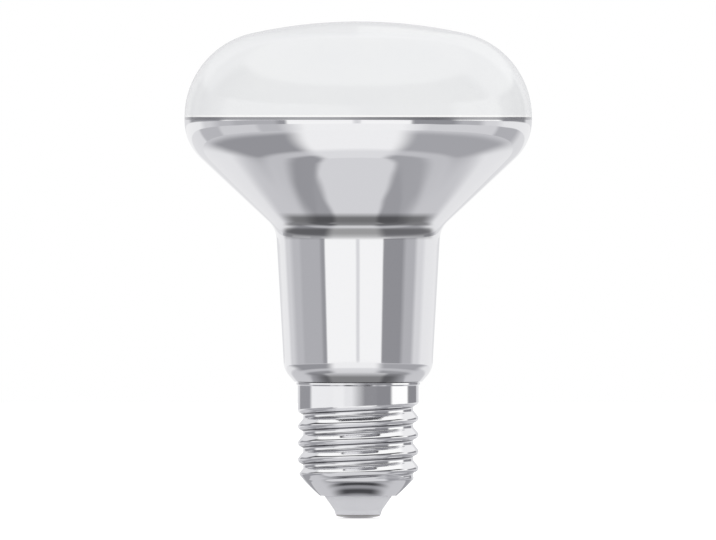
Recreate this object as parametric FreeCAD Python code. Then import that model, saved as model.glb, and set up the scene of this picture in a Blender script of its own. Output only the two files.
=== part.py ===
import FreeCAD, Part
import math
import os

# Reflector bulb with a round-thread screw cap, 27 mm size.
# Millimetres, +Z up. The lamp's axis is Z, and its centre contact touches the plane Z = 0.

Vector = FreeCAD.Vector
ORIGIN = Vector(0, 0, 0)
UP = Vector(0, 0, 1)

# Glass bulb
bulb_radius = 38.0
crown_radius = 107.0
dome_corner_radius = 18.8
belt_height = 0.6
shoulder_radius = 11.6
cone_half_angle = 47.0
throat_radius = 17.95
throat_rounding = 5.5
neck_length = 30.95
neck_foot_radius = 16.2
neck_foot_rounding = 6.5
neck_foot_height = 2.55
ledge_overhang = 0.5
stub_length = 10.85
exhaust_tip_radius = 2.0
exhaust_tip_length = 3.0

# Screw cap's shell, a pressed and rolled sheet
shell_length = 24.85
sheet_thickness = 0.3
crest_radius = 13.2
thread_depth = 1.17
thread_pitch = 3.629
groove_floor_width = 1.4
crest_land_width = 0.3
smooth_skirt_length = 5.0
groove_end_azimuth = 110.0
run_out_angle = 90.0
run_out_rise = 0.5
rim_flare = 0.3
rim_height = 0.5
rim_slope_height = 0.3
cap_cone_height = 5.0
lip_bend_radius = 8.4
lip_hole_radius = 7.5

# Insulator, and the rivet that is the centre contact
insulator_length = 4.15
insulator_waist_radius = 5.2
insulator_waist_height = 0.95
insulator_end_radius = 4.95
flange_height = 3.3
contact_thickness = 0.75
contact_radius = 4.85
contact_face_radius = 2.8
shank_radius = 1.2
shank_stand = 1.0
shank_bore_depth = 3.0

# Lead wires
lead_radius = 0.3
lead_spread = 4.0
lead_drop = 3.0

# Clearances
seat_gap = 0.1
fit_clearance = 0.05
cement_gap = 1.9

# Heights of the seats, from the contact up
lip_height = contact_thickness + insulator_length
rim_top = lip_height + shell_length
ledge_height = rim_top + seat_gap
stub_end = ledge_height - stub_length
groove_end_height = rim_top - smooth_skirt_length
flange_top = lip_height + flange_height
shank_top = flange_top + shank_stand

# Widths of the glass where it sits on the rim and goes down inside the skirt
ledge_radius = crest_radius + rim_flare + ledge_overhang
stub_radius = crest_radius - sheet_thickness - cement_gap

# Sizes of the thread that follow from the rest. The groove's tool reaches past the crests by half of
# what would make its turns meet.
root_radius = crest_radius - thread_depth
flank_run = (thread_pitch - groove_floor_width - crest_land_width) / 2
groove_reach = thread_depth * crest_land_width / flank_run / 4
groove_point_step = 15.0


def rounded_path(points, roundings):
    """Lines through the points, with a tangent arc at each inner point. An arc may be limited by its runs."""
    edges = []
    start = points[0]
    for before, corner, after, rounding in zip(points, points[1:], points[2:], roundings):
        if rounding == 0:
            edges.append(Part.LineSegment(start, corner).toShape())
            start = corner
            continue
        back = before - corner
        ahead = after - corner
        half_angle = back.getAngle(ahead) / 2
        reach = min(rounding / math.tan(half_angle), 0.48 * back.Length, 0.48 * ahead.Length)
        radius = reach * math.tan(half_angle)
        back.normalize()
        ahead.normalize()
        inward = (back + ahead).normalize()
        arc_start = corner + back * reach
        arc_middle = corner + inward * (radius / math.sin(half_angle) - radius)
        arc_end = corner + ahead * reach
        edges.append(Part.LineSegment(start, arc_start).toShape())
        edges.append(Part.Arc(arc_start, arc_middle, arc_end).toShape())
        start = arc_end
    edges.append(Part.LineSegment(start, points[-1]).toShape())
    return edges


def turned(edges):
    """The solid that a closed outline in the XZ plane turns about the axis."""
    return Part.Face(Part.Wire(edges)).revolve(ORIGIN, UP, 360)


def turned_corners(corners):
    """The solid turned from the straight-sided outline through (radius, height) corners."""
    points = [Vector(radius, 0, height) for radius, height in corners]
    return turned(Part.makePolygon(points + points[:1]).Edges)


def offset_corners(corners, distance):
    """The corners of an outline that runs downwards, drawn in towards the axis by a distance."""
    moved = []
    for index, (radius, height) in enumerate(corners):
        normals = []
        for first, last in ((index - 1, index), (index, index + 1)):
            if first >= 0 and last < len(corners):
                along_radius = corners[last][0] - corners[first][0]
                along_height = corners[last][1] - corners[first][1]
                length = math.hypot(along_radius, along_height)
                normals.append((along_height / length, -along_radius / length))
        across = normals[0][0] * normals[-1][0] + normals[0][1] * normals[-1][1]
        share = distance / (1 + across)
        new_radius = radius + (normals[0][0] + normals[-1][0]) * share
        new_height = height + (normals[0][1] + normals[-1][1]) * share
        moved.append((new_radius, new_height))
    return moved


def glass_bulb():
    """The sealed envelope: dome, mirrored cone, neck, and the stub that the cap holds."""
    neck_foot_top = ledge_height + neck_foot_height
    throat_height = neck_foot_top + neck_length
    cone_slope = math.tan(math.radians(cone_half_angle))
    shoulder_corner = throat_height + (bulb_radius - throat_radius) / cone_slope
    shoulder_reach = shoulder_radius * math.tan(math.radians(cone_half_angle / 2))
    equator = shoulder_corner + shoulder_reach + belt_height
    corner_centre = bulb_radius - dome_corner_radius
    crown_centre = equator - math.sqrt((crown_radius - dome_corner_radius) ** 2 - corner_centre**2)
    join_angle = math.asin(corner_centre / (crown_radius - dome_corner_radius))

    def on_crown(angle):
        return Vector(crown_radius * math.sin(angle), 0, crown_centre + crown_radius * math.cos(angle))

    def on_corner(angle):
        across = dome_corner_radius * math.sin(angle)
        return Vector(corner_centre + across, 0, equator + dome_corner_radius * math.cos(angle))

    half_way = (join_angle + math.pi / 2) / 2
    dome = [
        Part.Arc(on_crown(0), on_crown(join_angle / 2), on_crown(join_angle)).toShape(),
        Part.Arc(on_corner(join_angle), on_corner(half_way), on_corner(math.pi / 2)).toShape(),
    ]
    tip_end = stub_end - exhaust_tip_length
    corners = [
        (bulb_radius, equator, 0),
        (bulb_radius, shoulder_corner, shoulder_radius),
        (throat_radius, throat_height, throat_rounding),
        (neck_foot_radius, neck_foot_top, neck_foot_rounding),
        (ledge_radius, ledge_height, 0),
        (stub_radius, ledge_height, 0),
        (stub_radius, stub_end, 0),
        (exhaust_tip_radius, stub_end, 0),
        (exhaust_tip_radius, tip_end, 0),
        (0, tip_end, 0),
    ]
    points = [Vector(radius, 0, height) for radius, height, rounding in corners]
    body = rounded_path(points, [rounding for radius, height, rounding in corners[1:-1]])
    axis_line = Part.LineSegment(points[-1], on_crown(0)).toShape()
    return turned(dome + body + [axis_line])


def groove_height(azimuth):
    """Height of the groove's middle at an azimuth in degrees. Each whole turn lower is one pitch down."""
    return groove_end_height - thread_pitch * (groove_end_azimuth - azimuth) / 360


def thread_groove():
    """The right-hand groove as one solid, which climbs out of the crests at its upper end."""
    lower_end = lip_height + cap_cone_height / 2
    turns = (groove_end_height - lower_end) / thread_pitch
    steps = math.ceil(turns * 360 / groove_point_step)
    azimuths = [groove_end_azimuth - groove_point_step * (steps - step) for step in range(steps + 1)]
    floor_half_width = groove_floor_width / 2
    mouth_half_width = floor_half_width + flank_run * (1 + groove_reach / thread_depth)

    def lift(azimuth):
        share = max(0.0, 1 - (groove_end_azimuth - azimuth) / run_out_angle)
        return (1 - math.cos(math.pi * share)) / 2

    def floor_radius(azimuth):
        return root_radius + lift(azimuth) * (thread_depth + run_out_rise)

    def mouth_radius(azimuth):
        return crest_radius + groove_reach + lift(azimuth) * 2 * run_out_rise

    def spiral(radius_at, rise):
        points = []
        for azimuth in azimuths:
            angle = math.radians(azimuth)
            radius = radius_at(azimuth)
            height = groove_height(azimuth) + rise
            points.append(Vector(radius * math.cos(angle), radius * math.sin(angle), height))
        curve = Part.BSplineCurve()
        curve.interpolate(Points=points, Parameters=azimuths)
        return curve.toShape()

    spirals = [
        spiral(floor_radius, -floor_half_width),
        spiral(floor_radius, floor_half_width),
        spiral(mouth_radius, mouth_half_width),
        spiral(mouth_radius, -mouth_half_width),
    ]
    faces = [Part.makeRuledSurface(spirals[side - 1], spirals[side]) for side in range(4)]
    for end in (0, -1):
        ring = [edge.Vertexes[end].Point for edge in spirals]
        faces.append(Part.Face(Part.makePolygon(ring + ring[:1])))
    skin = Part.Shell(faces)
    skin.sewShape()
    groove = Part.Solid(skin)
    if groove.Volume < 0:
        groove.reverse()
    return groove


# The shell's outer side without its thread, from the rim down to the hole in its lip
shell_outside = [
    (crest_radius + rim_flare, rim_top),
    (crest_radius + rim_flare, rim_top - rim_height),
    (crest_radius, rim_top - rim_height - rim_slope_height),
    (crest_radius, lip_height + cap_cone_height),
    (lip_bend_radius, lip_height),
    (lip_hole_radius, lip_height),
]

# The shell's inner side: one sheet in from the skirt, then from the groove's floor, the cone and the lip
step_bottom = groove_end_height + groove_floor_width / 2
step_top = step_bottom + flank_run
drawn_in = offset_corners(shell_outside, sheet_thickness)
cone_slope_inside = (drawn_in[3][0] - drawn_in[4][0]) / (drawn_in[3][1] - drawn_in[4][1])
bore_radius = root_radius - sheet_thickness
bore_bottom = drawn_in[4][1] + (bore_radius - drawn_in[4][0]) / cone_slope_inside
shell_inside = [
    drawn_in[0],
    drawn_in[1],
    drawn_in[2],
    (drawn_in[2][0], step_top),
    (bore_radius, step_bottom),
    (bore_radius, bore_bottom),
    drawn_in[4],
    drawn_in[5],
]


def screw_shell():
    """The shell: a rod with its groove, trimmed by the cone, with the flared rim, hollowed to the sheet."""
    threaded = Part.makeCylinder(crest_radius, shell_length, Vector(0, 0, lip_height)).cut(thread_groove())
    slope = (crest_radius - lip_bend_radius) / cap_cone_height
    wide = crest_radius + thread_depth
    cone = turned_corners(
        [
            (0, rim_top),
            (wide, rim_top),
            (wide, lip_height + (wide - lip_bend_radius) / slope),
            (lip_bend_radius, lip_height),
            (0, lip_height),
        ]
    )
    rim = turned_corners([(0, rim_top)] + shell_outside[:3] + [(0, shell_outside[2][1])])
    past_rim = (shell_inside[0][0], rim_top + seat_gap)
    past_lip = (lip_hole_radius, lip_height - seat_gap)
    hollow = [(0, past_rim[1]), past_rim] + shell_inside[1:] + [past_lip, (0, past_lip[1])]
    return threaded.common(cone).fuse(rim).cut(turned_corners(hollow)).removeSplitter()


def capping_cement():
    """The ring that bonds the glass stub in the skirt. It stands on the step below the skirt."""
    inner = stub_radius + fit_clearance
    outer = crest_radius - sheet_thickness - fit_clearance
    top = shell_inside[2][1] - seat_gap
    bottom = step_top + fit_clearance
    return turned_corners([(inner, top), (outer, top), (outer, bottom), (inner, bottom)])


def cap_insulator():
    """The cone under the lip, with a flange inside on the shell's own cone, and the rivet's hole."""
    held = offset_corners(shell_outside, sheet_thickness + fit_clearance)
    bend_radius, bend_height = held[4]
    flange_radius = bend_radius + (flange_top - bend_height) * cone_slope_inside
    neck = lip_hole_radius - fit_clearance
    hole = shank_radius + fit_clearance
    return turned_corners(
        [
            (hole, flange_top),
            (flange_radius, flange_top),
            (bend_radius, bend_height),
            (neck, bend_height),
            (neck, lip_height),
            (insulator_waist_radius, contact_thickness + insulator_waist_height),
            (insulator_end_radius, contact_thickness),
            (hole, contact_thickness),
        ]
    )


def centre_contact():
    """The rivet: a shallow head below the insulator, and a shank through it with a bore for the lead."""
    bore = lead_radius + fit_clearance
    return turned_corners(
        [
            (0, 0),
            (contact_face_radius, 0),
            (contact_radius, contact_thickness),
            (shank_radius, contact_thickness),
            (shank_radius, shank_top),
            (bore, shank_top),
            (bore, shank_top - shank_bore_depth),
            (0, shank_top - shank_bore_depth),
        ]
    )


def lead_wire(points):
    """A round wire with sharp pinched bends, from its seal in the glass."""
    section = Part.Wire(Part.makeCircle(lead_radius, points[0], points[1] - points[0]))
    sharp_corners = 1
    return Part.makePolygon(points).makePipeShell([section], True, False, sharp_corners)


def centre_lead_wire():
    """From the seal to the middle, then down into the rivet's bore."""
    turn_in = stub_end - lead_drop
    turn_down = (turn_in + shank_top) / 2
    return lead_wire(
        [
            Vector(lead_spread, 0, stub_end),
            Vector(lead_spread, 0, turn_in),
            Vector(0, 0, turn_down),
            Vector(0, 0, shank_top - shank_bore_depth + fit_clearance),
        ]
    )


def shell_lead_wire():
    """From the seal down and out to the shell's bore, where it is welded."""
    weld_height = stub_end - lead_drop
    return lead_wire(
        [
            Vector(-lead_spread, 0, stub_end),
            Vector(-lead_spread, 0, weld_height),
            Vector(fit_clearance - bore_radius, 0, weld_height),
        ]
    )


PIECES = (
    glass_bulb,
    screw_shell,
    capping_cement,
    cap_insulator,
    centre_contact,
    centre_lead_wire,
    shell_lead_wire,
)

os.makedirs("parts", exist_ok=True)
for piece in PIECES:
    shape = piece()
    shape.exportStep(f"parts/{piece.__name__}.step")
    print(piece.__name__, shape.isValid(), len(shape.Solids), "solid", round(shape.Volume, 1), "mm3")
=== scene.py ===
# %% [markdown]
# # A reflector bulb
#
# A reflector bulb is blown in one piece of glass: a shallow frosted dome, a mirrored cone below its widest
# line, and a narrow neck. The neck is cemented into a screw cap, a thin pressed sheet of metal with a round
# thread, and under the cap an insulator holds the centre contact.
#
# The construction model gives the frame, in which every piece has its real size. This script gives the
# pieces their finish. The glass, the screw cap, the insulator and the contact are modelled again with finer
# forms on the same sizes. The hidden pieces keep their shape and only get a material.

# %% Load the frame
import math

import bpy
import numpy as np
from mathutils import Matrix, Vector


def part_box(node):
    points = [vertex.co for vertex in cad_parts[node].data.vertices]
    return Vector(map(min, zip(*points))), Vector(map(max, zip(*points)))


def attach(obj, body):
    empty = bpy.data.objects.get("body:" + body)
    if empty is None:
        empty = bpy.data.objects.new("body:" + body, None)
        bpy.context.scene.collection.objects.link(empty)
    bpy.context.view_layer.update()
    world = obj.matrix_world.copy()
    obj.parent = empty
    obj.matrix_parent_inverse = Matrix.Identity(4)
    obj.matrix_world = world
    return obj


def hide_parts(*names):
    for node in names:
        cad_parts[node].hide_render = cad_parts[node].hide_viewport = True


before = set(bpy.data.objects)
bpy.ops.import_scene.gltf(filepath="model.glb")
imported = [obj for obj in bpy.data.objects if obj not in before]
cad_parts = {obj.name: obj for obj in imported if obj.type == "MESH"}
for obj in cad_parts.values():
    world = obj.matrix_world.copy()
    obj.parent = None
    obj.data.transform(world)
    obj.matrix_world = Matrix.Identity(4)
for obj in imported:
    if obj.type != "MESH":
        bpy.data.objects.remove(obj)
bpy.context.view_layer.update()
MM = 0.001

# %% [markdown]
# ## Sizes of the glass
#
# All sizes are in millimetres, and heights count from the centre contact's face. The highest and widest
# points are read from the frame. The arcs between them are those of the construction model, so that the new
# glass fills the place of the glass that it stands for.

# %% Sizes of the glass
bulb_low, bulb_high = (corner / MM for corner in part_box("glass_bulb"))
shell_low, shell_high = (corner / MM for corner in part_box("screw_shell"))
DOME_TOP = bulb_high.z
BULB_RADIUS = bulb_high.x
CROWN_RADIUS = 107.0
DOME_CORNER_RADIUS = 18.8
BELT_HEIGHT = 0.6
SHOULDER_RADIUS = 11.6
CONE_HALF_ANGLE = math.radians(47)
THROAT_RADIUS = 17.95
THROAT_ROUNDING = 5.5
NECK_FOOT_RADIUS = 16.2
NECK_FOOT_HEIGHT = 2.55
NECK_FOOT_ROUNDING = 4.75
LEDGE_RADIUS = 14.0
STUB_RADIUS = 11.0
STUB_LENGTH = 10.85
STUB_END_ROUNDING = 1.5
EXHAUST_TIP_RADIUS = 2.0
TIP_ROOT_ROUNDING = 0.8
TIP_END_ROUNDING = 1.2
SEAT_GAP = 0.1
RIM_TOP = shell_high.z
LIP_HEIGHT = shell_low.z
LEDGE_HEIGHT = RIM_TOP + SEAT_GAP
print("dome top", round(DOME_TOP, 2), "rim top", round(RIM_TOP, 2), "lip", round(LIP_HEIGHT, 2))

# %% [markdown]
# ## Drawing an outline and turning it
#
# Every visible piece of a bulb is round, so each one starts as half of its section, drawn in the plane
# through the axis. A plane merged to a single point gives the pen. Extruding the point draws a straight run,
# and spinning it round a centre draws an arc. Spinning the finished outline round the axis makes the piece,
# as on a lathe. Straight runs are drawn in short steps: smooth shading blends the normals of neighbouring
# faces, and short steps keep that blend away from the middle of a long face, where a mirror would show it.

# %% The pen
TURN_STEPS = 192
MERGE_DISTANCE = 0.0005
SHARP_BEND = math.radians(35)


def deselect_all():
    """Lets go of what the last step left selected."""
    for item in bpy.context.selected_objects:
        item.select_set(False)


def start_outline(name, radius, height):
    """One point in the XZ plane, in edit mode, from which an outline is drawn."""
    deselect_all()
    bpy.ops.mesh.primitive_plane_add(size=MM)
    piece = bpy.context.active_object
    piece.name = name
    piece.data.name = name
    bpy.ops.object.mode_set(mode="EDIT")
    bpy.ops.mesh.select_mode(type="VERT")
    bpy.ops.mesh.select_all(action="SELECT")
    bpy.ops.mesh.merge(type="CENTER")
    bpy.ops.transform.translate(value=(radius * MM, 0, height * MM))
    return piece


def draw_run(start, end, step=1.5):
    """Draws a straight run in equal steps of about the given length."""
    start, end = Vector(start), Vector(end)
    count = max(1, round((end - start).length / step))
    stride = (end - start) / count * MM
    for _ in range(count):
        bpy.ops.mesh.extrude_region_move(TRANSFORM_OT_translate={"value": (stride.x, 0, stride.y)})


def draw_arc(centre, turn, step=math.radians(3)):
    """Spins the last point round a centre. A positive turn goes clockwise, seen from the front."""
    count = max(2, round(abs(turn) / step))
    place = (centre[0] * MM, 0, centre[1] * MM)
    bpy.ops.mesh.spin(steps=count, angle=turn, center=place, axis=(0, -1, 0), use_auto_merge=False)


# %% [markdown]
# ## Rounded corners
#
# Moulded and blown things have no sharp corners. Here a corner is given as a radius, a height and the size of
# its rounding, as on a drawing. The run up to it stops short by what the arc takes, and the arc's centre lies
# on the line that halves the corner.

# %% Outlines with rounded corners
def draw_rounded(corners):
    """Draws runs through (radius, height, rounding) corners from the first to the last."""
    here = Vector(corners[0][:2])
    for before, corner, after in zip(corners, corners[1:], corners[2:]):
        point = Vector(corner[:2])
        if corner[2] == 0:
            draw_run(here, point)
            here = point
            continue
        back = (Vector(before[:2]) - point).normalized()
        ahead = (Vector(after[:2]) - point).normalized()
        half_angle = back.angle(ahead) / 2
        reach = corner[2] / math.tan(half_angle)
        draw_run(here, point + back * reach)
        centre = point + (back + ahead).normalized() * (corner[2] / math.sin(half_angle))
        turns_right = back.x * ahead.y - back.y * ahead.x > 0
        turn = math.pi - 2 * half_angle
        draw_arc(centre, turn if turns_right else -turn)
        here = point + ahead * reach
    draw_run(here, Vector(corners[-1][:2]))


# %% [markdown]
# ## The lathe
#
# The outline is turned in equal steps. Its first and last copy and its points on the axis then lie in the
# same places, so they are merged, and the faces are turned outwards. Bends sharper than 35 degrees stay
# sharp edges, all others are shaded smooth.

# %% The lathe
def turn_outline(piece):
    """Spins the outline round the axis, merges what meets there and points the faces outwards."""
    bpy.ops.mesh.select_all(action="SELECT")
    bpy.ops.mesh.spin(steps=TURN_STEPS, angle=2 * math.pi, center=(0, 0, 0), axis=(0, 0, 1))
    bpy.ops.mesh.select_all(action="SELECT")
    bpy.ops.mesh.remove_doubles(threshold=MERGE_DISTANCE * MM)
    bpy.ops.mesh.normals_make_consistent(inside=False)
    bpy.ops.object.mode_set(mode="OBJECT")
    bpy.ops.object.shade_smooth_by_angle(angle=SHARP_BEND)
    print(piece.name, "has", len(piece.data.polygons), "faces")


# %% [markdown]
# ## The glass
#
# On the real lamp the envelope is one blown piece. The dome is a flat arc that turns down in a tighter arc
# to the widest line. Below a narrow belt the shoulder turns in to the cone, the cone runs into the neck
# through a tight throat, and the neck's foot rounds in above the cap. It could be shaped from a sphere, but a
# glass maker's mould is turned, so here its arcs and tangent runs are drawn and turned as well. The lower
# end goes on inside the cap, down to the tip through which the lamp was filled.

# %% Model the glass
cone_slope = math.tan(CONE_HALF_ANGLE)
shoulder_reach = SHOULDER_RADIUS * math.tan(CONE_HALF_ANGLE / 2)
corner_centre = BULB_RADIUS - DOME_CORNER_RADIUS
crown_span = CROWN_RADIUS - DOME_CORNER_RADIUS
join_angle = math.asin(corner_centre / crown_span)
EQUATOR = DOME_TOP - CROWN_RADIUS + math.sqrt(crown_span**2 - corner_centre**2)
MIRROR_TOP = EQUATOR - BELT_HEIGHT
shoulder_corner = MIRROR_TOP - shoulder_reach
throat_height = shoulder_corner - (BULB_RADIUS - THROAT_RADIUS) / cone_slope
stub_end = LEDGE_HEIGHT - STUB_LENGTH

envelope = start_outline("blown_envelope", 0, DOME_TOP)
draw_arc((0, DOME_TOP - CROWN_RADIUS), join_angle, step=math.radians(1))
print("the crown meets the corner", round(CROWN_RADIUS * math.sin(join_angle), 2), "mm from the axis")
draw_arc((corner_centre, EQUATOR), math.pi / 2 - join_angle)
draw_run((BULB_RADIUS, EQUATOR), (BULB_RADIUS, MIRROR_TOP))
draw_rounded(
    [
        (BULB_RADIUS, MIRROR_TOP, 0),
        (BULB_RADIUS, shoulder_corner, SHOULDER_RADIUS),
        (THROAT_RADIUS, throat_height, THROAT_ROUNDING),
        (NECK_FOOT_RADIUS, LEDGE_HEIGHT + NECK_FOOT_HEIGHT, NECK_FOOT_ROUNDING),
        (LEDGE_RADIUS, LEDGE_HEIGHT, 0),
        (STUB_RADIUS, LEDGE_HEIGHT, 0),
        (STUB_RADIUS, stub_end, STUB_END_ROUNDING),
        (EXHAUST_TIP_RADIUS, stub_end, TIP_ROOT_ROUNDING),
        (EXHAUST_TIP_RADIUS, bulb_low.z, TIP_END_ROUNDING),
        (0, bulb_low.z, 0),
    ]
)
turn_outline(envelope)

# %% [markdown]
# ## The screw cap's shell
#
# The shell is one thin sheet of aluminium, drawn to a cup. Its rim is flared to take the glass, a smooth
# skirt is left above the thread, and a cone turns in to a lip that holds the insulator. The outline of that
# cup is drawn and turned first, with close rows where the thread will be pressed in.

# %% Sizes of the shell
CREST_RADIUS = 13.2
SHEET_THICKNESS = 0.3
RIM_FLARE = 0.3
RIM_EDGE_ROUNDING = 0.18
RIM_HEIGHT = 0.5
RIM_SLOPE_HEIGHT = 0.3
CAP_CONE_HEIGHT = 5.0
LIP_BEND_RADIUS = 8.4
LIP_HOLE_RADIUS = 7.5
RIM_ROW_STEP = 0.1
LIP_ROW_STEP = 0.15
THREAD_ROW_STEP = 0.12
skirt_start = RIM_TOP - RIM_HEIGHT - RIM_SLOPE_HEIGHT
cone_top = LIP_HEIGHT + CAP_CONE_HEIGHT
rim_radius = CREST_RADIUS + RIM_FLARE
rim_edge = (rim_radius - RIM_EDGE_ROUNDING, RIM_TOP - RIM_EDGE_ROUNDING)
print("skirt and thread reach from", round(cone_top, 2), "to", round(skirt_start, 2), "mm")

# %% Model the shell as a smooth cup
shell = start_outline("rolled_screw_shell", CREST_RADIUS, RIM_TOP)
draw_run((CREST_RADIUS, RIM_TOP), (rim_edge[0], RIM_TOP))
draw_arc(rim_edge, math.pi / 2, step=math.radians(15))
draw_run((rim_radius, rim_edge[1]), (rim_radius, RIM_TOP - RIM_HEIGHT), step=RIM_ROW_STEP)
draw_run((rim_radius, RIM_TOP - RIM_HEIGHT), (CREST_RADIUS, skirt_start), step=RIM_ROW_STEP)
draw_run((CREST_RADIUS, skirt_start), (CREST_RADIUS, cone_top), step=THREAD_ROW_STEP)
draw_run((CREST_RADIUS, cone_top), (LIP_BEND_RADIUS, LIP_HEIGHT), step=THREAD_ROW_STEP)
draw_run((LIP_BEND_RADIUS, LIP_HEIGHT), (LIP_HOLE_RADIUS, LIP_HEIGHT), step=LIP_ROW_STEP)
turn_outline(shell)

# %% [markdown]
# ## The shape of the groove
#
# The thread is rolled into the cup between two shaped wheels. In section each crest is an arc, each groove
# has a narrow floor between two smaller arcs, and straight flanks join them. The wheels push the sheet
# towards the cap's foot, which leaves the flank below a crest steeper than the one above it. That is what
# makes the bright and dark lines of a screw cap: the gentle flank shows the light from overhead, the steep
# one doesn't. Both flanks are drawn by one function of the distance from the crest.

# %% The depth of the groove beside a crest
THREAD_DEPTH = 1.17
THREAD_PITCH = 3.629
CREST_ROUNDING = 0.8
GROOVE_ROUNDING = 0.4
LOWER_FLANK_ANGLE = math.radians(65)
UPPER_FLANK_ANGLE = math.radians(39)


def flank(from_crest, angle):
    """The depth at a distance from the crest's middle: crest arc, straight flank, groove arc, floor."""
    turn = np.linspace(0, angle, 32)
    arcs = CREST_ROUNDING + GROOVE_ROUNDING
    width = arcs * math.sin(angle) + (THREAD_DEPTH - arcs * (1 - math.cos(angle))) / math.tan(angle)
    along = np.concatenate([CREST_ROUNDING * np.sin(turn), width - GROOVE_ROUNDING * np.sin(turn[::-1])])
    crest_arc = CREST_ROUNDING * (1 - np.cos(turn))
    groove_arc = THREAD_DEPTH - GROOVE_ROUNDING * (1 - np.cos(turn[::-1]))
    return np.interp(from_crest, along, np.concatenate([crest_arc, groove_arc]))


for side, angle in (("below", LOWER_FLANK_ANGLE), ("above", UPPER_FLANK_ANGLE)):
    print("one millimetre", side, "a crest the groove is", round(float(flank(1.0, angle)), 2), "mm deep")

# %% [markdown]
# ## Pressing the thread
#
# A thread could be modelled as a screw-shaped ribbon, but it would have to be joined to the skirt and the
# cone. Here each point of the cup moves in by how deep the groove is at its place instead, which depends on
# its height and on how far round the cap it lies. Between two crests, the flank that reaches a point less
# deeply is the one that counts. One turn lowers the groove by one pitch, so the thread climbs to the right.
# At its upper end it runs out over a quarter of a turn, and at the lower end the cone cuts it off with a
# soft bend.

# %% Press the thread
SMOOTH_SKIRT_LENGTH = 5.0
GROOVE_END_AZIMUTH = 110.0
RUN_OUT_ANGLE = 90.0
CONE_BULGE = 0.25
CONE_BEND_SOFTNESS = 0.5
ROW_MARGIN = 0.01
groove_end_height = RIM_TOP - SMOOTH_SKIRT_LENGTH

places = np.array([point.co for point in shell.data.vertices]) / MM
radius = np.hypot(places[:, 0], places[:, 1])
height = places[:, 2]
behind_end = (GROOVE_END_AZIMUTH - np.degrees(np.arctan2(places[:, 1], places[:, 0]))) % 360

turns_above_end = (height - groove_end_height) / THREAD_PITCH + behind_end / 360
above_crest = (turns_above_end + 0.5) % 1 * THREAD_PITCH
below_crest = THREAD_PITCH - above_crest
depth = np.minimum(flank(above_crest, UPPER_FLANK_ANGLE), flank(below_crest, LOWER_FLANK_ANGLE))
run_out = 0.5 - 0.5 * np.cos(np.pi * np.clip(behind_end / RUN_OUT_ANGLE, 0, 1))
depth = np.where(turns_above_end > -0.5, depth * run_out, depth)
depth = np.where(turns_above_end > 0.5, 0, depth)

up_cone = (height - LIP_HEIGHT) / CAP_CONE_HEIGHT
cone_radius = LIP_BEND_RADIUS + (CREST_RADIUS - LIP_BEND_RADIUS) * up_cone
cone_radius += CONE_BULGE * np.sin(np.pi * np.clip(up_cone, 0, 1))
nearness = np.clip(1 - np.abs(CREST_RADIUS - depth - cone_radius) / CONE_BEND_SOFTNESS, 0, 1)
pressed = np.minimum(CREST_RADIUS - depth, cone_radius) - CONE_BEND_SOFTNESS / 4 * nearness**2
under_skirt = (height < skirt_start - ROW_MARGIN) & (radius > LIP_BEND_RADIUS + ROW_MARGIN)
places[:, :2] *= np.where(under_skirt, pressed / radius, 1)[:, None]
shell.data.vertices.foreach_set("co", (places * MM).ravel())
shell.data.update()
print("the groove is", round(float(depth.max()), 2), "mm deep")

# %% [markdown]
# ## The thickness of the sheet
#
# Solidify gives the sheet its wall, towards the inside, so that the thread shows inside the cap too, as it
# does on a real one.

# %% Give the sheet its thickness
sheet = shell.modifiers.new("sheet", "SOLIDIFY")
sheet.thickness = SHEET_THICKNESS * MM
sheet.offset = -1
sheet.use_even_offset = True
bpy.context.view_layer.objects.active = shell
bpy.ops.object.modifier_apply(modifier="sheet")
bpy.ops.object.shade_smooth_by_angle(angle=math.radians(50))
print("the shell has", len(shell.data.polygons), "faces")

# %% [markdown]
# ## The insulator
#
# The insulator is moulded: a cone with softened edges, whose flange sits inside the shell's cone, so it can't
# fall out. Its bore takes the contact's shank. It is turned as well, because its mould is.

# %% Model the insulator
FIT_CLEARANCE = 0.05
SHANK_RADIUS = 1.2
INSULATOR_WAIST_RADIUS = 5.2
INSULATOR_WAIST_HEIGHT = 0.95
INSULATOR_WAIST_ROUNDING = 1.5
INSULATOR_END_RADIUS = 4.95
INSULATOR_END_ROUNDING = 0.12
FLANGE_TOP_ROUNDING = 0.3
FLANGE_SEAT_ROUNDING = 0.2
insulator_low, insulator_high = (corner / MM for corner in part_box("cap_insulator"))
bore_radius = SHANK_RADIUS + FIT_CLEARANCE
flange_low = LIP_HEIGHT + SHEET_THICKNESS + FIT_CLEARANCE

insulator = start_outline("moulded_insulator", bore_radius, insulator_high.z)
draw_rounded(
    [
        (bore_radius, insulator_high.z, 0),
        (insulator_high.x, insulator_high.z, FLANGE_TOP_ROUNDING),
        (LIP_BEND_RADIUS - FLANGE_SEAT_ROUNDING, flange_low, FLANGE_SEAT_ROUNDING),
        (LIP_HOLE_RADIUS - FIT_CLEARANCE, flange_low, 0),
        (LIP_HOLE_RADIUS - FIT_CLEARANCE, LIP_HEIGHT, 0),
        (INSULATOR_WAIST_RADIUS, insulator_low.z + INSULATOR_WAIST_HEIGHT, INSULATOR_WAIST_ROUNDING),
        (INSULATOR_END_RADIUS, insulator_low.z, INSULATOR_END_ROUNDING),
        (bore_radius, insulator_low.z, 0),
        (bore_radius, insulator_high.z, 0),
    ]
)
turn_outline(insulator)

# %% [markdown]
# ## The centre contact
#
# The centre contact is the head of a hollow rivet, stamped from brass: a flat face that curves up to a thin
# edge, and a bored shank in which the lead wire is soldered.

# %% Model the contact
CONTACT_FACE_RADIUS = 2.8
CONTACT_FACE_ROUNDING = 2.0
CONTACT_EDGE_SLANT = 0.1
CONTACT_EDGE_HEIGHT = 0.3
SHANK_END_ROUNDING = 0.1
SHANK_BORE_RADIUS = 0.35
SHANK_BORE_DEPTH = 3.0
contact_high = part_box("centre_contact")[1] / MM

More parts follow.
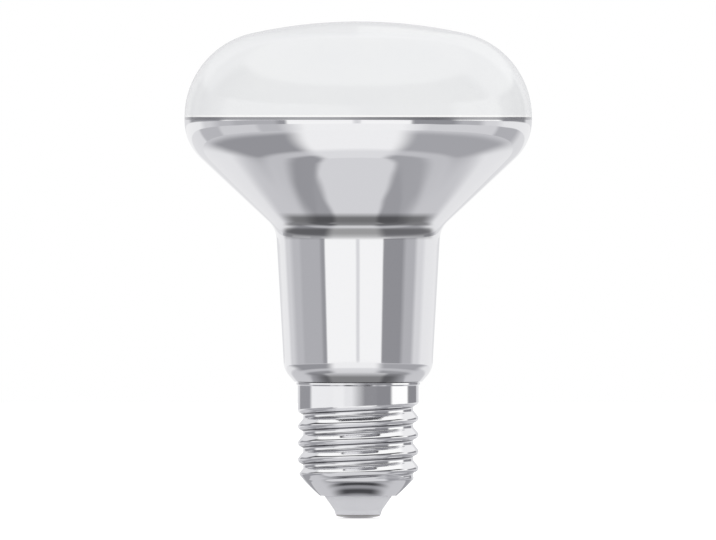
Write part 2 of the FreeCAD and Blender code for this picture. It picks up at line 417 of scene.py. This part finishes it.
contact = start_outline("riveted_contact", 0, 0)
draw_rounded(
    [
        (0, 0, 0),
        (CONTACT_FACE_RADIUS, 0, CONTACT_FACE_ROUNDING),
        (contact_high.x - CONTACT_EDGE_SLANT, insulator_low.z - CONTACT_EDGE_HEIGHT, CONTACT_EDGE_SLANT),
        (contact_high.x, insulator_low.z, 0),
        (SHANK_RADIUS, insulator_low.z, 0),
        (SHANK_RADIUS, contact_high.z, SHANK_END_ROUNDING),
        (SHANK_BORE_RADIUS, contact_high.z, 0),
        (SHANK_BORE_RADIUS, contact_high.z - SHANK_BORE_DEPTH, 0),
        (0, contact_high.z - SHANK_BORE_DEPTH, 0),
    ]
)
turn_outline(contact)

# %% [markdown]
# ## Before the materials
#
# Colours are written as they look on a screen and turned to the linear values that the shader counts in.
# One function adds each node, with its settings and with what goes into its inputs. Where a whole node is
# given, the first of its outputs that is in use is linked. Three settings come again and again: a soft step
# between two values, one colour laid over another (its inputs 0, 6 and 7 are the share, the lower and the
# upper colour), and a product.

# %% Helpers for colours and nodes
SOFT_STEP = {"interpolation_type": "SMOOTHSTEP"}
LAID_OVER = {"data_type": "RGBA"}
TIMES = {"operation": "MULTIPLY"}


def colour(hex_value):
    """Turns an sRGB hex colour to linear RGBA."""
    levels = [int(hex_value[place : place + 2], 16) / 255 for place in (1, 3, 5)]
    linear = [level / 12.92 if level <= 0.04045 else ((level + 0.055) / 1.055) ** 2.4 for level in levels]
    return (*linear, 1)


def add_node(tree, kind, settings=None, inputs=None):
    """Adds a node with its settings, and fills or links its inputs. Returns the node."""
    node = tree.nodes.new(kind)
    for name, value in (settings or {}).items():
        setattr(node, name, value)
    for name, value in (inputs or {}).items():
        if isinstance(value, bpy.types.Node):
            value = next(output for output in value.outputs if output.enabled)
        if isinstance(value, bpy.types.NodeSocket):
            tree.links.new(value, node.inputs[name])
        else:
            node.inputs[name].default_value = value
    return node


def new_material(name):
    """A material with an empty node tree, and that tree."""
    made = bpy.data.materials.new(name)
    made.use_nodes = True
    made.node_tree.nodes.clear()
    return made, made.node_tree


def height_in_mm(tree, place):
    """The height of a place on a piece, in millimetres."""
    parts = add_node(tree, "ShaderNodeSeparateXYZ", {}, {"Vector": place})
    return add_node(tree, "ShaderNodeMath", {"operation": "DIVIDE"}, {0: parts.outputs["Z"], 1: MM})


print("the screen grey #808080 is", round(colour("#808080")[0], 3), "in the shader")

# %% [markdown]
# ## Frosted glass
#
# The dome is soda-lime glass, etched inside and fire-polished outside. The etched side scatters the light,
# so the dome looks white and even, while the smooth outside gives a clear, sharp gloss. A pale, rough body
# under a clear coat does that. Three things keep it from looking like plastic: the etch has a fine grain, its
# white clouds a little from place to place, and where the glass turns away its edge is painted lighter, a
# painted sheen that lifts the darker shading there. The grain is drawn 0.5 mm wide, some ten times coarser
# than it is, or it wouldn't show. Just above the mirror a thin line is painted white, a painted reflection
# of the white ground that bare glass would show there.

# %% Frosted dome
ETCH_GRAIN = 0.5
ETCH_CLOUD = 14.0
SHEEN_PAINT_BEGINS = (0.58, 0.66)
SHEEN_PAINT_ENDS = (0.95, 0.68)
WHITE_LINE_PAINT_TOP = EQUATOR + 0.45
WHITE_LINE_PAINT_SOFTNESS = 0.1

frosted, tree = new_material("soda_lime_glass_frosted_inside")
place = add_node(tree, "ShaderNodeTexCoord").outputs["Object"]
grain = add_node(
    tree, "ShaderNodeTexNoise", {}, {"Vector": place, "Scale": 1 / (ETCH_GRAIN * MM), "Detail": 2.0}
)
cloud = add_node(
    tree, "ShaderNodeTexNoise", {}, {"Vector": place, "Scale": 1 / (ETCH_CLOUD * MM), "Detail": 3.0}
)
tone = add_node(tree, "ShaderNodeMix", LAID_OVER, {0: cloud, 6: colour("#EDEEF1"), 7: colour("#F2F3F4")})
facing = add_node(tree, "ShaderNodeLayerWeight", {}, {"Blend": 0.5}).outputs["Facing"]
begins, ends = (
    add_node(
        tree, "ShaderNodeMapRange", SOFT_STEP, {"Value": facing, "From Min": limits[0], "From Max": limits[1]}
    )
    for limits in (SHEEN_PAINT_BEGINS, SHEEN_PAINT_ENDS)
)
# Painted sheen: where the dome turns away from the eye, its colour is painted lighter.
painted_sheen = add_node(tree, "ShaderNodeMath", TIMES, {0: begins, 1: ends})
tone = add_node(tree, "ShaderNodeMix", LAID_OVER, {0: painted_sheen, 6: tone, 7: colour("#F5F6F8")})
# Painted reflection: a thin white line is painted just above the mirror.
painted_white_line = add_node(
    tree,
    "ShaderNodeMapRange",
    SOFT_STEP,
    {
        "Value": height_in_mm(tree, place),
        "From Min": WHITE_LINE_PAINT_TOP,
        "From Max": WHITE_LINE_PAINT_TOP - WHITE_LINE_PAINT_SOFTNESS,
    },
)
tone = add_node(tree, "ShaderNodeMix", LAID_OVER, {0: painted_white_line, 6: tone, 7: colour("#FFFFFF")})
etched = add_node(tree, "ShaderNodeBump", {}, {"Height": grain, "Strength": 0.15, "Distance": 0.02 * MM})
body = add_node(
    tree,
    "ShaderNodeBsdfPrincipled",
    {},
    {
        "Base Color": tone,
        "Roughness": 0.6,
        "IOR": 1.5,
        "Normal": etched,
        "Coat Weight": 1.0,
        "Coat Roughness": 0.02,
        "Coat IOR": 1.5,
    },
)
add_node(tree, "ShaderNodeOutputMaterial", {}, {"Surface": body})
print(frosted.name, "is made of", len(tree.nodes), "nodes")

# %% [markdown]
# ## The mirror's film
#
# The cone and neck are coated inside with aluminium, evaporated in a vacuum from a small coil in the bulb.
# The film's colour is painted darker in two fine rings in the throat and at the neck's foot: a painted
# reflection of the dark bands that the curved glass shows there. The rings fade towards the sides, where
# the eye meets the film at a low angle. Each pair below is a height in millimetres and how bright the film
# is painted there.

# %% How bright the film is painted at each height
# Painted reflection: the film's colour is painted darker at these heights.
PAINTED_DARK_RINGS = (
    (29.8, 0.3),
    (31.0, 0.3),
    (31.9, 0.9),
    (33.0, 1.0),
    (60.9, 1.0),
    (61.6, 0.55),
    (62.3, 0.35),
    (63.2, 0.35),
    (63.8, 1.0),
    (64.2, 0.35),
    (65.0, 0.2),
    (65.8, 0.22),
    (66.9, 1.0),
    (EQUATOR, 1.0),
)
FADE_HEIGHTS = (36.0, 56.0)
FADE_BEGINS = (0.32, 0.50)
FADE_WIDTH = 0.14


def grey(level):
    """A neutral linear grey. Its darker steps are a little cooler, as aluminium and studio cards are."""
    return (level, level, level * (1 + 0.09 * (1 - level)), 1)


def painted_film_shade(tree, height):
    """The film's brightness by height, with painted dark rings, faded out where the glass turns away."""
    share = add_node(
        tree, "ShaderNodeMapRange", {}, {"Value": height, "From Min": LEDGE_HEIGHT, "From Max": EQUATOR}
    )
    ramp = add_node(tree, "ShaderNodeValToRGB", {}, {"Fac": share})
    stops = ramp.color_ramp.elements
    stops.remove(stops[1])
    for index, (ring_height, level) in enumerate(PAINTED_DARK_RINGS):
        position = (ring_height - LEDGE_HEIGHT) / (EQUATOR - LEDGE_HEIGHT)
        stop = stops[0] if index == 0 else stops.new(position)
        stop.position = min(max(position, 0), 1)
        stop.color = (level, level, level, 1)
    facing = add_node(tree, "ShaderNodeLayerWeight", {}, {"Blend": 0.5}).outputs["Facing"]
    begins = add_node(
        tree,
        "ShaderNodeMapRange",
        {},
        {
            "Value": height,
            "From Min": FADE_HEIGHTS[0],
            "From Max": FADE_HEIGHTS[1],
            "To Min": FADE_BEGINS[0],
            "To Max": FADE_BEGINS[1],
        },
    )
    ends = add_node(tree, "ShaderNodeMath", {}, {0: begins, 1: FADE_WIDTH})
    aside = add_node(
        tree, "ShaderNodeMapRange", SOFT_STEP, {"Value": facing, "From Min": begins, "From Max": ends}
    )
    return add_node(tree, "ShaderNodeMix", LAID_OVER, {0: aside, 6: ramp, 7: grey(1.0)})


# %% [markdown]
# ## Mirrored glass
#
# Seen through the glass the film is a mirror under a clear gloss, so the body is a metal with a coat of
# glass. Blown glass is never quite even: a wave of 11 mm lets the reflections swim. It is deeper in the cone,
# where the gather of glass was stretched most. The film ends at the widest line in a narrow band that is
# duller and darker, and it draws the fine dark line round the lamp.

# %% Mirrored cone and its edge
GLASS_WAVE = 11.0
WAVE_HEIGHTS = (60.0, 68.0)
WAVE_DEPTHS = (0.03, 0.09)


def mirrored_glass(name, film_colour, roughness):
    """A metal film seen through a wavy coat of clear glass."""
    made, tree = new_material(name)
    place = add_node(tree, "ShaderNodeTexCoord").outputs["Object"]
    height = height_in_mm(tree, place)
    film = add_node(
        tree,
        "ShaderNodeMix",
        {"data_type": "RGBA", "blend_type": "MULTIPLY"},
        {0: 1.0, 6: colour(film_colour), 7: painted_film_shade(tree, height)},
    )
    wave = add_node(
        tree,
        "ShaderNodeTexNoise",
        {},
        {"Vector": place, "Scale": 1 / (GLASS_WAVE * MM), "Detail": 1.0, "Roughness": 0.4},
    )
    depth = add_node(
        tree,
        "ShaderNodeMapRange",
        {},
        {
            "Value": height,
            "From Min": WAVE_HEIGHTS[0],
            "From Max": WAVE_HEIGHTS[1],
            "To Min": WAVE_DEPTHS[0] * MM,
            "To Max": WAVE_DEPTHS[1] * MM,
        },
    )
    waved = add_node(tree, "ShaderNodeBump", {}, {"Height": wave, "Strength": 1.0, "Distance": depth})
    body = add_node(
        tree,
        "ShaderNodeBsdfPrincipled",
        {},
        {
            "Base Color": film,
            "Metallic": 1.0,
            "Roughness": roughness,
            "Normal": waved,
            "Coat Weight": 1.0,
            "Coat Roughness": 0.01,
            "Coat IOR": 1.5,
        },
    )
    add_node(tree, "ShaderNodeOutputMaterial", {}, {"Surface": body})
    return made


mirrored = mirrored_glass("soda_lime_glass_aluminised_inside", "#EFEFF1", 0.04)
film_edge = mirrored_glass("aluminium_film_edge", "#A8A8AC", 0.3)
print("the film is darkest at", min(PAINTED_DARK_RINGS, key=lambda ring: ring[1])[0], "mm, in the throat")

# %% [markdown]
# ## A painted dark line under each crest
#
# Below each crest, on the steep flank, a thin dark line is painted into the metal's colour: a painted
# reflection of the dark that this flank shows. The line follows the groove, so it is worked out from the
# same turns as the groove itself: the height in pitches, and how far round the cap the place lies. Each pair
# of limits is where a soft edge starts and ends, as a part of a turn above the groove's middle. The last
# groove ends the line at the top in the same way, and the thread's foot, in millimetres, ends it at the
# bottom.

# %% Where the dark line is painted
DARK_LINE_PAINT_EDGES = ((0.18, 0.22), (0.31, 0.26))
LAST_GROOVE = (0.5, 0.45)
THREAD_FOOT = (9.3, 10.3)


def painted_dark_line(tree, place):
    """How much of the painted dark line lies at a place on the thread, from 0 to 1."""
    parts = add_node(tree, "ShaderNodeSeparateXYZ", {}, {"Vector": place})
    around = add_node(
        tree, "ShaderNodeMath", {"operation": "ARCTAN2"}, {0: parts.outputs["Y"], 1: parts.outputs["X"]}
    )
    around = add_node(
        tree,
        "ShaderNodeMath",
        {"operation": "MULTIPLY_ADD"},
        {0: around, 1: -0.5 / math.pi, 2: GROOVE_END_AZIMUTH / 360},
    )
    behind_end = add_node(tree, "ShaderNodeMath", {"operation": "FRACT"}, {0: around})
    height = height_in_mm(tree, place)
    turns = add_node(
        tree,
        "ShaderNodeMapRange",
        {"clamp": False},
        {"Value": height, "From Min": groove_end_height, "From Max": groove_end_height + THREAD_PITCH},
    )
    turns = add_node(tree, "ShaderNodeMath", {}, {0: turns, 1: behind_end})
    phase = add_node(tree, "ShaderNodeMath", {"operation": "FRACT"}, {0: turns})
    share = 1.0
    limits = [(phase, edge) for edge in DARK_LINE_PAINT_EDGES] + [(turns, LAST_GROOVE), (height, THREAD_FOOT)]
    for coordinate, (start, end) in limits:
        within = add_node(
            tree, "ShaderNodeMapRange", SOFT_STEP, {"Value": coordinate, "From Min": start, "From Max": end}
        )
        share = add_node(tree, "ShaderNodeMath", TIMES, {0: share, 1: within})
    return share


# %% [markdown]
# ## Metals of the cap
#
# The shell is bright aluminium, polished by the wheels that roll it. The contact is stamped from brass and
# plated with nickel, which is a little yellower and less sharp. The wires are drawn nickel. All three keep
# fine marks that run round them, from the wheel, the die or the drawing plate. Noise that is stretched ten
# times around the axis gives those marks, and a very weak bump turns them into the slight unrest of a real
# reflection. The marks are drawn 0.4 mm wide, several times coarser than they are, so that they show.

# %% Rolled, stamped and drawn metal
ROLLING_MARK = 0.4
STRETCH_AROUND = (0.1, 0.1, 1.0)


def marked_metal(name, metal_colour, roughness, with_painted_line=False):
    """A metal with fine marks round the axis and, if asked, the thread's painted dark line."""
    made, tree = new_material(name)
    place = add_node(tree, "ShaderNodeTexCoord").outputs["Object"]
    tone = colour(metal_colour)
    if with_painted_line:
        # Painted reflection: the dark line under each crest is painted into the metal's colour.
        painted_line_mix = {0: painted_dark_line(tree, place), 6: tone, 7: colour("#5C5C60")}
        tone = add_node(tree, "ShaderNodeMix", LAID_OVER, painted_line_mix)
    stretched = add_node(tree, "ShaderNodeMapping", {}, {"Vector": place, "Scale": STRETCH_AROUND})
    marks = add_node(
        tree, "ShaderNodeTexNoise", {}, {"Vector": stretched, "Scale": 1 / (ROLLING_MARK * MM), "Detail": 2.0}
    )
    marked = add_node(tree, "ShaderNodeBump", {}, {"Height": marks, "Strength": 0.05, "Distance": 0.01 * MM})
    body = add_node(
        tree,
        "ShaderNodeBsdfPrincipled",
        {},
        {"Base Color": tone, "Metallic": 1.0, "Roughness": roughness, "Normal": marked},
    )
    add_node(tree, "ShaderNodeOutputMaterial", {}, {"Surface": body})
    return made


aluminium = marked_metal("aluminium_pressed_and_rolled", "#F0F0F2", 0.06, with_painted_line=True)
nickel = marked_metal("brass_stamped_nickel_plated", "#C9C7C4", 0.15)
drawn_wire = marked_metal("nickel_wire_drawn", "#C4C0B8", 0.25)
print("metals:", ", ".join(metal.name for metal in (aluminium, nickel, drawn_wire)))

# %% [markdown]
# ## Insulator and cement
#
# The insulator is moulded from a pale grey plastic filled with glass. The mould leaves it smooth with a soft
# gloss. The cement that holds the glass in the cap is a paste of phenolic resin and marble flour, baked hard:
# buff, dull and grainy. Both are plain bodies. They differ in colour, gloss and the size of their grain,
# which is drawn about half a millimetre wide, a few times coarser than the filler really is.

# %% Moulded plastic and baked cement


def grained_body(name, body_colour, roughness, grain_size):
    """A plain moulded or baked body with a fine grain, its size in millimetres."""
    made, tree = new_material(name)
    place = add_node(tree, "ShaderNodeTexCoord").outputs["Object"]
    grain = add_node(
        tree, "ShaderNodeTexNoise", {}, {"Vector": place, "Scale": 1 / (grain_size * MM), "Detail": 3.0}
    )
    grained = add_node(tree, "ShaderNodeBump", {}, {"Height": grain, "Strength": 0.2, "Distance": 0.02 * MM})
    body = add_node(
        tree,
        "ShaderNodeBsdfPrincipled",
        {},
        {"Base Color": colour(body_colour), "Roughness": roughness, "IOR": 1.5, "Normal": grained},
    )
    add_node(tree, "ShaderNodeOutputMaterial", {}, {"Surface": body})
    return made


insulator_plastic = grained_body("insulator_moulded_pale_grey", "#E6E6EB", 0.35, 0.4)
cement = grained_body("cement_baked_phenolic", "#A39888", 0.8, 0.6)
print("bodies:", insulator_plastic.name, "and", cement.name)

# %% [markdown]
# ## Giving each piece its material
#
# The glass is one piece with three finishes, so its faces take theirs by height: frosted above the widest
# line, the film's edge in the belt, the mirror below it. The cement and the wires are the construction
# model's own solids and only get a new material.

# %% Give each piece its material
for material in (frosted, film_edge, mirrored):
    envelope.data.materials.append(material)
for face in envelope.data.polygons:
    face_height = face.center.z / MM
    face.material_index = 0 if face_height > EQUATOR else 1 if face_height > MIRROR_TOP else 2
print("frosted above", round(EQUATOR, 2), "mm and mirrored below", round(MIRROR_TOP, 2), "mm")
shell.data.materials.append(aluminium)
insulator.data.materials.append(insulator_plastic)
contact.data.materials.append(nickel)
for node_name, material in (
    ("capping_cement", cement),
    ("centre_lead_wire", drawn_wire),
    ("shell_lead_wire", drawn_wire),
):
    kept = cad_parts[node_name]
    kept.data.materials.clear()
    kept.data.materials.append(material)
    print(node_name, "keeps its shape and is now", material.name)

# %% [markdown]
# ## Handing each piece to the frame
#
# Nothing moves on a bulb, so every new piece rides on the root, and each one stands for the solid of its
# name, which it hides.

# %% Let each piece ride and stand for its node
for piece, node_name, slot_name in (
    (envelope, "glass_bulb", "blown_glass"),
    (shell, "screw_shell", "cap_metal"),
    (insulator, "cap_insulator", "insulator"),
    (contact, "centre_contact", "contact_metal"),
):
    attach(piece, "root")
    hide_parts(node_name)
    print(piece.name, "stands for", node_name)

# %% [markdown]
# ## The camera
#
# In the picture that this bulb was built from, all rings are straight lines, so it was taken from far away.
# The camera stands five metres off with a long lens, at the height of the mirror's edge, and looks down by
# under half a degree. The lens is worked out from the scale of that picture, in millimetres for each pixel.

# %% Camera
FRAME_WIDTH_PX = 716
MM_PER_PX = 1 / 4.572
CENTRE_PX = (358, 270)
AXIS_X_PX = 358.2
FOOT_Y_PX = 518
CAMERA_DISTANCE = 5000
SENSOR_WIDTH = 36

aim = Vector(((CENTRE_PX[0] - AXIS_X_PX) * MM_PER_PX, 0, (FOOT_Y_PX - CENTRE_PX[1]) * MM_PER_PX))
stand = Vector((aim.x, -CAMERA_DISTANCE, EQUATOR))
lens = bpy.data.cameras.new("camera")
lens.sensor_width = SENSOR_WIDTH
lens.lens = SENSOR_WIDTH * CAMERA_DISTANCE / (FRAME_WIDTH_PX * MM_PER_PX)
lens.clip_start = 0.1
lens.clip_end = 100
camera = bpy.data.objects.new("camera", lens)
bpy.context.collection.objects.link(camera)
camera.location = stand * MM
camera.rotation_mode = "QUATERNION"
camera.rotation_quaternion = (aim - stand).to_track_quat("-Z", "Y")
bpy.context.scene.camera = camera
print("lens", round(lens.lens, 1), "mm")

# %% [markdown]
# ## The studio's cards
#
# Mirrors show the studio more than themselves, so the studio is laid out for its reflections, as a
# photographer does with white, grey and black cards round a glass. The world holds the standing cards. They
# hang in rows, one above the other, and each row is a ring of cards by azimuth, counted in degrees from the
# viewer's side towards the right. A colour ramp holds a row: each card gives two stops, so that it is even
# over its width and has an edge of its own softness.

# %% A row of cards


def azimuth_of(tree, parts):
    """The azimuth in degrees, from the viewer's side towards +X."""
    towards_viewer = add_node(tree, "ShaderNodeMath", TIMES, {0: parts.outputs["Y"], 1: -1.0})
    turned = add_node(
        tree, "ShaderNodeMath", {"operation": "ARCTAN2"}, {0: parts.outputs["X"], 1: towards_viewer}
    )
    return add_node(tree, "ShaderNodeMath", {"operation": "DEGREES"}, {0: turned})


def row_of_cards(tree, azimuth, cards):
    """A ring of grey cards. Each gives where it ends, how bright it is and how soft its edge is."""
    share = add_node(
        tree, "ShaderNodeMapRange", {}, {"Value": azimuth, "From Min": -180.0, "From Max": 180.0}
    )
    ramp = add_node(tree, "ShaderNodeValToRGB", {}, {"Fac": share})
    stops = ramp.color_ramp.elements
    stops.remove(stops[1])
    stops[0].position = 0
    stops[0].color = grey(cards[0][1])
    for (edge, level, softness), (_, following, _) in zip(cards, cards[1:]):
        for side, shade in ((-softness, level), (softness, following)):
            stop = stops.new((edge + side + 180) / 360)
            stop.color = grey(shade)
    return ramp


# %% [markdown]
# ## The four rows
#
# Each row is laid for the part of the bulb that sees it. The lowest shows in the rounding just under the
# mirror's edge, the next in the neck, the third in the cap's skirt and thread, and the raised one draws the
# dark line above each crest of the thread. A bright ceiling closes the studio, and lights the gentle flanks.
# A card is written as the azimuth where it ends, its brightness and the softness of that end. The rows'
# edges are elevations in degrees, each with its softness.

# %% Cards round the lamp
RIM_CARDS = (
    (-135, 0.78, 2),
    (-108, 0.52, 2),
    (-72, 0.68, 2),
    (-46, 0.55, 10),
    (40, 0.98, 10),
    (76, 0.70, 2),
    (108, 0.70, 2),
    (140, 0.48, 6),
    (180, 0.75, 2),
)
NECK_CARDS = (
    (-128, 0.90, 4),
    (-112, 0.70, 6),
    (-92, 0.54, 3),
    (-56, 0.47, 2),
    (-49, 0.34, 1),
    (-3, 1.03, 1),
    (2, 0.76, 1),
    (36, 1.03, 1),
    (70, 0.31, 4),
    (92, 0.49, 4),
    (110, 0.74, 5),
    (180, 0.88, 2),
)
CAP_CARDS = (
    (-150, 0.75, 4),
    (-103, 0.33, 4),
    (-27, 0.96, 3),
    (0, 0.88, 13),
    (67, 0.28, 3),
    (110, 1.15, 3),
    (148, 0.28, 3),
    (180, 0.75, 2),
)
RAISED_CARDS = ((-122, 0.80, 6), (100, 0.08, 5), (180, 0.95, 2))
CARD_ROWS = (RIM_CARDS, NECK_CARDS, CAP_CARDS, RAISED_CARDS)
CEILING = 1.1
ROW_EDGES = ((-8.3, 0.4), (-1.8, 0.4), (16, 2), (42, 3))
print("cards in each row:", [len(cards) for cards in CARD_ROWS])

# %% [markdown]
# ## The world
#
# Only glossy rays see the cards. The camera sees a plain white ground. All other rays see an even tent that
# is a little brighter round the lamp than above it, which lights the frosted dome and the insulator softly,
# at a level at which their colours come out as written.

# %% World
TENT_AROUND = 1.25
TENT_ABOVE = 0.70
scene = bpy.context.scene
world = bpy.data.worlds.new("studio")
scene.world = world
world.use_nodes = True
sky = world.node_tree
sky.nodes.clear()

direction = add_node(sky, "ShaderNodeTexCoord").outputs["Generated"]
parts = add_node(sky, "ShaderNodeSeparateXYZ", {}, {"Vector": direction})
azimuth = azimuth_of(sky, parts)
raised = add_node(sky, "ShaderNodeMath", {"operation": "ARCSINE"}, {0: parts.outputs["Z"]})
elevation = add_node(sky, "ShaderNodeMath", {"operation": "DEGREES"}, {0: raised})

rows = [row_of_cards(sky, azimuth, cards) for cards in CARD_ROWS]
studio = rows[0]
for upper, (edge, softness) in zip(rows[1:] + [grey(CEILING)], ROW_EDGES):
    above = add_node(
        sky,
        "ShaderNodeMapRange",
        SOFT_STEP,
        {"Value": elevation, "From Min": edge - softness, "From Max": edge + softness},
    )
    studio = add_node(sky, "ShaderNodeMix", LAID_OVER, {0: above, 6: studio, 7: upper})
up = add_node(sky, "ShaderNodeMapRange", SOFT_STEP, {"Value": elevation, "From Min": 10.0, "From Max": 70.0})
tent = add_node(sky, "ShaderNodeMix", LAID_OVER, {0: up, 6: grey(TENT_AROUND), 7: grey(TENT_ABOVE)})
paths = add_node(sky, "ShaderNodeLightPath")
seen = add_node(sky, "ShaderNodeMix", LAID_OVER, {0: paths.outputs["Is Glossy Ray"], 6: tent, 7: studio})
seen = add_node(sky, "ShaderNodeMix", LAID_OVER, {0: paths.outputs["Is Camera Ray"], 6: seen, 7: grey(1.0)})
light = add_node(sky, "ShaderNodeBackground", {}, {"Color": seen, "Strength": 1.0})
add_node(sky, "ShaderNodeOutputWorld", {}, {"Surface": light})
print("the studio has", len(rows), "rows of cards and a ceiling")

# %% [markdown]
# ## The floor
#
# The lamp stands on matt white paper. The paper is lifted a little for the camera alone, so that it meets
# the white ground without an edge and still keeps the lamp's shadow. Glossy rays pass it, because the
# cards that lie on it are a piece of their own.

# %% Floor
FLOOR_RADIUS = 2000
FLOOR_DROP = 0.05
deselect_all()
bpy.ops.mesh.primitive_circle_add(
    vertices=96, radius=FLOOR_RADIUS * MM, fill_type="NGON", location=(0, 0, -FLOOR_DROP * MM)
)
floor = bpy.context.active_object
floor.name = "floor"
floor.visible_glossy = False
paper, tree = new_material("paper_matt_white")
paths = add_node(tree, "ShaderNodeLightPath")
lift = add_node(tree, "ShaderNodeMath", TIMES, {0: paths.outputs["Is Camera Ray"], 1: 0.4})
body = add_node(
    tree,
    "ShaderNodeBsdfPrincipled",
    {},
    {
        "Base Color": colour("#F0F0F0"),
        "Roughness": 1.0,
        "Specular IOR Level": 0.0,
        "Emission Color": colour("#FFFFFF"),
        "Emission Strength": lift,
    },
)
add_node(tree, "ShaderNodeOutputMaterial", {}, {"Surface": body})
floor.data.materials.append(paper)
print("the floor is", 2 * FLOOR_RADIUS * MM, "m wide")

# %% [markdown]
# ## Cards on the floor
#
# The mirrored cone looks down, so it shows the table: pale in front of the lamp, darker at the sides. Rings
# of cards lie there, each a soft step in how far they are from the axis or how far round. They glow instead
# of being lit, so their greys come out as written, and only glossy rays see them. First comes the disc that
# they lie on, with the ways in which a place on it is measured.

# %% A disc for the cards on the floor
CARDS_RADIUS = 250
CARDS_DROP = 0.04
FRONT_TURN = 5.0
BACK_NARROWING = 0.18
deselect_all()
bpy.ops.mesh.primitive_circle_add(
    vertices=96, radius=CARDS_RADIUS * MM, fill_type="NGON", location=(0, 0, -CARDS_DROP * MM)
)
cards = bpy.context.active_object
cards.name = "floor_cards"
cards.visible_camera = False
cards.visible_diffuse = False
cards.visible_shadow = False
cards.visible_transmission = False

card_and_shadow, tree = new_material("card_grey_and_painted_shadow")
place = add_node(tree, "ShaderNodeTexCoord").outputs["Object"]
parts = add_node(tree, "ShaderNodeSeparateXYZ", {}, {"Vector": place})
flat = add_node(tree, "ShaderNodeCombineXYZ", {}, {"X": parts.outputs["X"], "Y": parts.outputs["Y"]})
reach = add_node(tree, "ShaderNodeVectorMath", {"operation": "LENGTH"}, {0: flat})
from_axis = add_node(tree, "ShaderNodeMath", {"operation": "DIVIDE"}, {0: reach, 1: MM})
azimuth = azimuth_of(tree, parts)
aside = add_node(tree, "ShaderNodeMath", {"operation": "ABSOLUTE"}, {0: azimuth})
off_centre = add_node(tree, "ShaderNodeMath", {}, {0: azimuth, 1: FRONT_TURN})
off_centre = add_node(tree, "ShaderNodeMath", {"operation": "ABSOLUTE"}, {0: off_centre})
to_right = add_node(tree, "ShaderNodeMath", {"operation": "DIVIDE"}, {0: parts.outputs["X"], 1: MM})
narrowed = add_node(
    tree, "ShaderNodeMath", {"operation": "MULTIPLY_ADD"}, {0: from_axis, 1: -BACK_NARROWING, 2: aside}
)
print("the floor cards reach", CARDS_RADIUS, "mm from the axis")

# %% [markdown]
# ## The wide cards
#
# A card is laid over what lies there already, as paper on a table, and its edge is softened so that it shows
# no hard line in the cone. The last two numbers of each line say where that edge starts and ends, in
# millimetres from the axis or in degrees round it. The sides come first, dark with a lighter ring and a
# lighter end, then the pale back and the white front.

# %% The wide cards, from the sides to the front


def lay(under, over, coordinate, start, end):
    """Lays a card over what lies there, beyond a soft edge in a coordinate."""
    edge = add_node(
        tree, "ShaderNodeMapRange", SOFT_STEP, {"Value": coordinate, "From Min": start, "From Max": end}
    )
    return add_node(tree, "ShaderNodeMix", LAID_OVER, {0: edge, 6: under, 7: over})


sides = lay(grey(0.33), grey(0.41), to_right, -60, 60)
sides = lay(sides, grey(0.60), from_axis, 165, 245)
light_ring = lay(grey(0.58), sides, from_axis, 60, 76)
sides = lay(sides, light_ring, from_axis, 44, 54)
back = lay(grey(0.62), grey(0.84), from_axis, 80, 115)
front = lay(grey(0.80), grey(0.97), from_axis, 58, 80)
laid = lay(sides, back, narrowed, 80, 104)
laid = lay(front, laid, off_centre, 28, 46)
print("the wide cards take", len(tree.nodes), "nodes")

# %% [markdown]
# ## A painted shadow under the lamp
#
# Nearest to the foot lie a few narrow rings, a painted shadow of the lamp on the floor that only
# reflections see. The cap's cone shows them as the dark lens and the fine bands over its front. They fade to
# a plain grey at the sides, where they also reach a little further out.

# %% The painted shadow's rings under the lamp
# Painted shadow: the radius in millimetres and the grey of each ring under the lamp.
FOOT_SHADOW_RINGS = (
    (0.0, 0.42),
    (7.8, 0.45),
    (8.7, 0.07),
    (9.5, 0.07),
    (10.3, 0.32),
    (10.9, 0.32),
    (11.4, 0.06),
    (12.0, 0.06),
    (12.5, 0.35),
    (13.0, 0.35),
    (13.5, 0.10),
    (16.0, 0.10),
)
FOOT_REACH = FOOT_SHADOW_RINGS[-1][0]
SIDE_REACH = 5.0
share = add_node(
    tree, "ShaderNodeMapRange", {}, {"Value": from_axis, "From Min": 0.0, "From Max": FOOT_REACH}
)
rings = add_node(tree, "ShaderNodeValToRGB", {}, {"Fac": share})
stops = rings.color_ramp.elements
stops.remove(stops[1])
for index, (ring_radius, level) in enumerate(FOOT_SHADOW_RINGS):
    stop = stops[0] if index == 0 else stops.new(ring_radius / FOOT_REACH)
    stop.position = ring_radius / FOOT_REACH
    stop.color = grey(level)
near = lay(grey(0.72), grey(0.36), off_centre, 50, 64)
laid = lay(near, laid, from_axis, 33, 37)
shadow_under_lamp = lay(rings, grey(0.62), aside, 25, 80)
sideways = add_node(
    tree, "ShaderNodeMapRange", SOFT_STEP, {"Value": aside, "From Min": 45.0, "From Max": 75.0}
)
drawn_in = add_node(
    tree, "ShaderNodeMath", {"operation": "MULTIPLY_ADD"}, {0: sideways, 1: -SIDE_REACH, 2: from_axis}
)
laid = lay(shadow_under_lamp, laid, drawn_in, 14.2, 15.6)
glow = add_node(tree, "ShaderNodeEmission", {}, {"Color": laid, "Strength": 1.0})
add_node(tree, "ShaderNodeOutputMaterial", {}, {"Surface": glow})
cards.data.materials.append(card_and_shadow)
print("the foot's rings reach", FOOT_REACH, "mm, and", SIDE_REACH, "mm more at the sides")

# %% [markdown]
# ## The view
#
# The view stays plain, so that greys come out as they were written.

# %% View settings
scene.view_settings.view_transform = "Standard"
